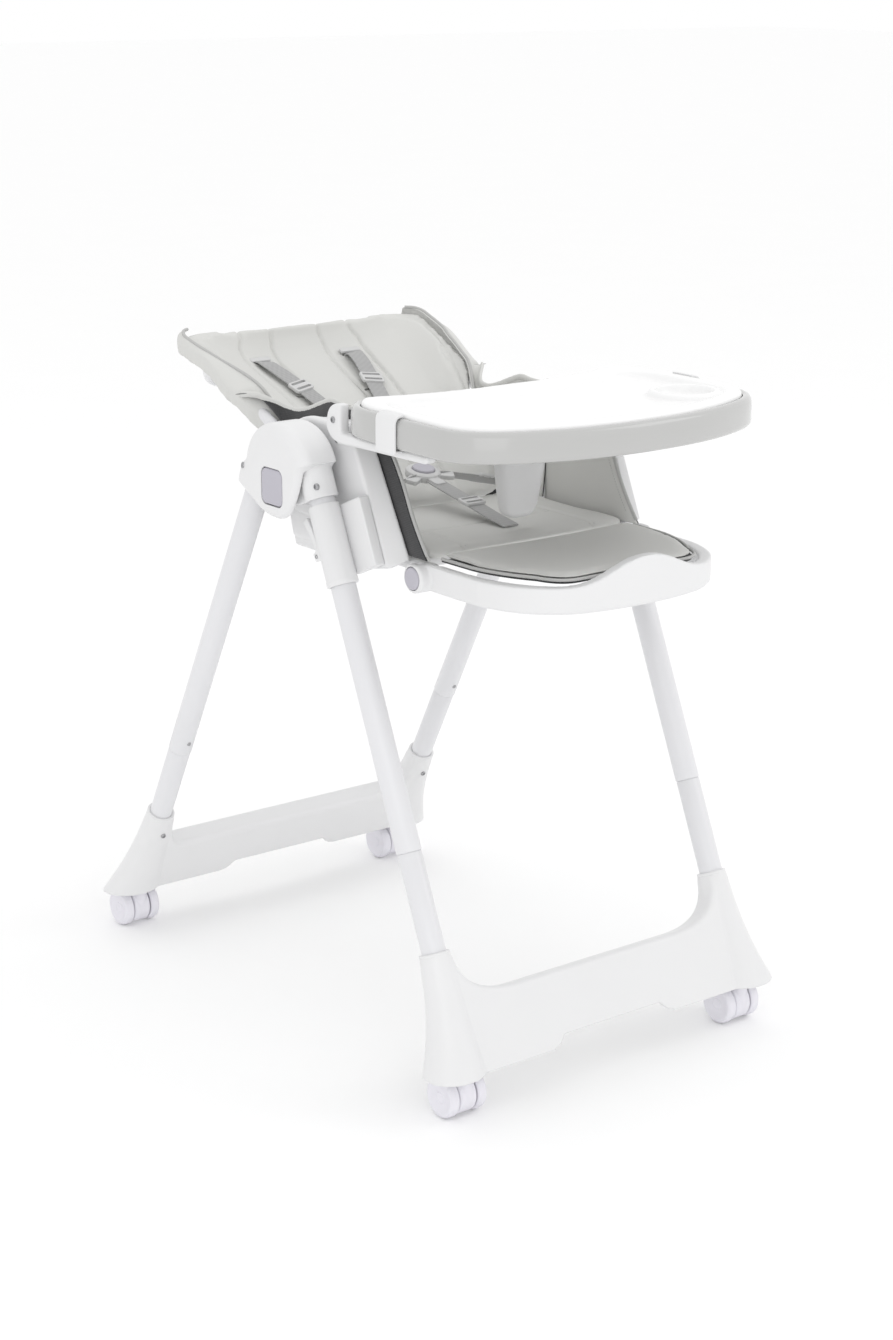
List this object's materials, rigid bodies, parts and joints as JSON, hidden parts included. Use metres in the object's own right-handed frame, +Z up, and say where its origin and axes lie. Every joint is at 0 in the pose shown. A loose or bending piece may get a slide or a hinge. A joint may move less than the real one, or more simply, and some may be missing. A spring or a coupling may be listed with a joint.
{
  "type": "folding baby high chair",
  "caption": "Folding high chair for a baby with a reclining padded seat, harness, footrest, height sleeves on splayed tube legs, swivel casters and a tray with a lift-out insert.",
  "frame": {"origin": "on the floor, under the middle of the chair's footprint", "axes": "+Z up, -Y the way the baby faces, +X to the baby's left"},
  "size_m": [0.566, 0.8856, 0.8943],
  "materials": {
    "white_plastic": "satin moulded",
    "white_tube": "satin powder coat",
    "tray_grey": "glossy",
    "insert_white": "satin moulded",
    "button_grey": "fine matt texture",
    "caster_grey": "satin moulded",
    "seat_leather": "fine grain leatherette",
    "charcoal_fabric": "plain weave",
    "webbing": "ribbed webbing",
    "hinge_steel": "zinc plated"
  },
  "bodies": {
    "front_frame": {"front_foot": "white_plastic", "front_lower_tube_left": "white_tube", "front_lower_tube_right": "white_tube", "front_upper_tube_left": "white_tube", "front_upper_tube_right": "white_tube", "front_hinge_collar_left": "white_plastic", "front_hinge_collar_right": "white_plastic", "hinge_pin_left": "hinge_steel", "hinge_pin_right": "hinge_steel"},
    "rear_frame": {"rear_foot": "white_plastic", "rear_lower_tube_left": "white_tube", "rear_lower_tube_right": "white_tube", "rear_upper_tube_left": "white_tube", "rear_upper_tube_right": "white_tube", "hinge_casing_left": "white_plastic", "hinge_casing_right": "white_plastic"},
    "seat": {"side_panel_left": "white_plastic", "side_panel_right": "white_plastic", "height_sleeve_left": "white_plastic", "height_sleeve_right": "white_plastic", "tray_arm_left": "white_plastic", "tray_arm_right": "white_plastic", "seat_shell": "white_plastic", "seat_pad": "seat_leather", "side_wing_left": "charcoal_fabric", "side_wing_right": "charcoal_fabric", "crotch_strap": "webbing", "waist_strap_left": "webbing", "waist_strap_right": "webbing", "buckle": "button_grey"},
    "backrest": {"backrest_frame": "white_tube", "backrest_pad": "seat_leather", "shoulder_strap_left": "webbing", "shoulder_strap_right": "webbing"},
    "footrest": {"footrest_loop": "white_plastic", "legrest_pad": "seat_leather"},
    "tray": {"tray_base": "tray_grey", "crotch_post": "white_plastic", "tray_latch_left": "white_plastic", "tray_latch_right": "white_plastic"},
    "insert": {"tray_insert": "insert_white"},
    "release_button": {"buckle_button": "button_grey"},
    "fold_press_left": {"fold_button_left": "button_grey"},
    "footrest_press_left": {"footrest_button_left": "button_grey"},
    "height_grip_left": {"height_lever_left": "button_grey"},
    "fold_press_right": {"fold_button_right": "button_grey"},
    "footrest_press_right": {"footrest_button_right": "button_grey"},
    "height_grip_right": {"height_lever_right": "button_grey"},
    "caster_front_left": {"caster_housing_front_left": "caster_grey"},
    "wheels_front_left": {"caster_wheels_front_left": "caster_grey"},
    "pedal_front_left": {"brake_pedal_front_left": "button_grey"},
    "caster_front_right": {"caster_housing_front_right": "caster_grey"},
    "wheels_front_right": {"caster_wheels_front_right": "caster_grey"},
    "pedal_front_right": {"brake_pedal_front_right": "button_grey"},
    "caster_rear_left": {"caster_housing_rear_left": "caster_grey"},
    "wheels_rear_left": {"caster_wheels_rear_left": "caster_grey"},
    "pedal_rear_left": {"brake_pedal_rear_left": "button_grey"},
    "caster_rear_right": {"caster_housing_rear_right": "caster_grey"},
    "wheels_rear_right": {"caster_wheels_rear_right": "caster_grey"},
    "pedal_rear_right": {"brake_pedal_rear_right": "button_grey"}
  },
  "joints": [
    {"name": "rear_leg_fold", "type": "hinge", "parent": "front_frame", "child": "rear_frame", "pos_m": [0, -0.02776, 0.735], "axis": [-1, 0, 0], "range_deg": [0, 48]},
    {"name": "seat_height", "type": "slide", "parent": "front_frame", "child": "seat", "axis": [0, -0.4023, -0.9155], "range_m": [0, 0.18]},
    {"name": "backrest_recline", "type": "hinge", "parent": "seat", "child": "backrest", "pos_m": [0, 0.01524, 0.733], "axis": [1, 0, 0], "range_deg": [0, 45]},
    {"name": "footrest_tilt", "type": "hinge", "parent": "seat", "child": "footrest", "pos_m": [0, -0.22276, 0.636], "axis": [1, 0, 0], "range_deg": [0, 70]},
    {"name": "tray_slide", "type": "slide", "parent": "seat", "child": "tray", "axis": [0, -1, 0], "range_m": [0, 0.06]},
    {"name": "tray_insert_lift", "type": "slide", "parent": "tray", "child": "insert", "axis": [0, 0, 1], "range_m": [0, 0.06]},
    {"name": "buckle_press", "type": "slide", "parent": "seat", "child": "release_button", "axis": [0, 0.2079, -0.9781], "range_m": [0, 0.003], "stiffness_N_per_m": 600},
    {"name": "fold_button_press_left", "type": "slide", "parent": "rear_frame", "child": "fold_press_left", "axis": [-1, 0, 0], "range_m": [0, 0.004], "stiffness_N_per_m": 800},
    {"name": "footrest_button_press_left", "type": "slide", "parent": "footrest", "child": "footrest_press_left", "axis": [-1, 0, 0], "range_m": [0, 0.003], "stiffness_N_per_m": 800},
    {"name": "height_lever_squeeze_left", "type": "hinge", "parent": "seat", "child": "height_grip_left", "pos_m": [0.23, -0.0969, 0.6463], "axis": [1, 0, 0], "range_deg": [0, 7], "stiffness_Nm_per_rad": 0.6},
    {"name": "fold_button_press_right", "type": "slide", "parent": "rear_frame", "child": "fold_press_right", "axis": [1, 0, 0], "range_m": [0, 0.004], "stiffness_N_per_m": 800},
    {"name": "footrest_button_press_right", "type": "slide", "parent": "footrest", "child": "footrest_press_right", "axis": [1, 0, 0], "range_m": [0, 0.003], "stiffness_N_per_m": 800},
    {"name": "height_lever_squeeze_right", "type": "hinge", "parent": "seat", "child": "height_grip_right", "pos_m": [-0.23, -0.0969, 0.6463], "axis": [1, 0, 0], "range_deg": [0, 7], "stiffness_Nm_per_rad": 0.6},
    {"name": "caster_swivel_front_left", "type": "hinge", "parent": "front_frame", "child": "caster_front_left", "pos_m": [0.23, -0.3873, 0.07], "axis": [0, 0, 1], "continuous": true},
    {"name": "wheel_spin_front_left", "type": "hinge", "parent": "caster_front_left", "child": "wheels_front_left", "pos_m": [0.23, -0.3713, 0.0265], "axis": [1, 0, 0], "continuous": true},
    {"name": "brake_press_front_left", "type": "hinge", "parent": "caster_front_left", "child": "pedal_front_left", "pos_m": [0.23, -0.3633, 0.042], "axis": [-1, 0, 0], "range_deg": [0, 10]},
    {"name": "caster_swivel_front_right", "type": "hinge", "parent": "front_frame", "child": "caster_front_right", "pos_m": [-0.23, -0.3873, 0.07], "axis": [0, 0, 1], "continuous": true},
    {"name": "wheel_spin_front_right", "type": "hinge", "parent": "caster_front_right", "child": "wheels_front_right", "pos_m": [-0.23, -0.3713, 0.0265], "axis": [1, 0, 0], "continuous": true},
    {"name": "brake_press_front_right", "type": "hinge", "parent": "caster_front_right", "child": "pedal_front_right", "pos_m": [-0.23, -0.3633, 0.042], "axis": [-1, 0, 0], "range_deg": [0, 10]},
    {"name": "caster_swivel_rear_left", "type": "hinge", "parent": "rear_frame", "child": "caster_rear_left", "pos_m": [0.23, 0.3848, 0.07], "axis": [0, 0, 1], "continuous": true},
    {"name": "wheel_spin_rear_left", "type": "hinge", "parent": "caster_rear_left", "child": "wheels_rear_left", "pos_m": [0.23, 0.4008, 0.0265], "axis": [1, 0, 0], "continuous": true},
    {"name": "brake_press_rear_left", "type": "hinge", "parent": "caster_rear_left", "child": "pedal_rear_left", "pos_m": [0.23, 0.4088, 0.042], "axis": [-1, 0, 0], "range_deg": [0, 10]},
    {"name": "caster_swivel_rear_right", "type": "hinge", "parent": "rear_frame", "child": "caster_rear_right", "pos_m": [-0.23, 0.3848, 0.07], "axis": [0, 0, 1], "continuous": true},
    {"name": "wheel_spin_rear_right", "type": "hinge", "parent": "caster_rear_right", "child": "wheels_rear_right", "pos_m": [-0.23, 0.4008, 0.0265], "axis": [1, 0, 0], "continuous": true},
    {"name": "brake_press_rear_right", "type": "hinge", "parent": "caster_rear_right", "child": "pedal_rear_right", "pos_m": [-0.23, 0.4088, 0.042], "axis": [-1, 0, 0], "range_deg": [0, 10]}
  ]
}
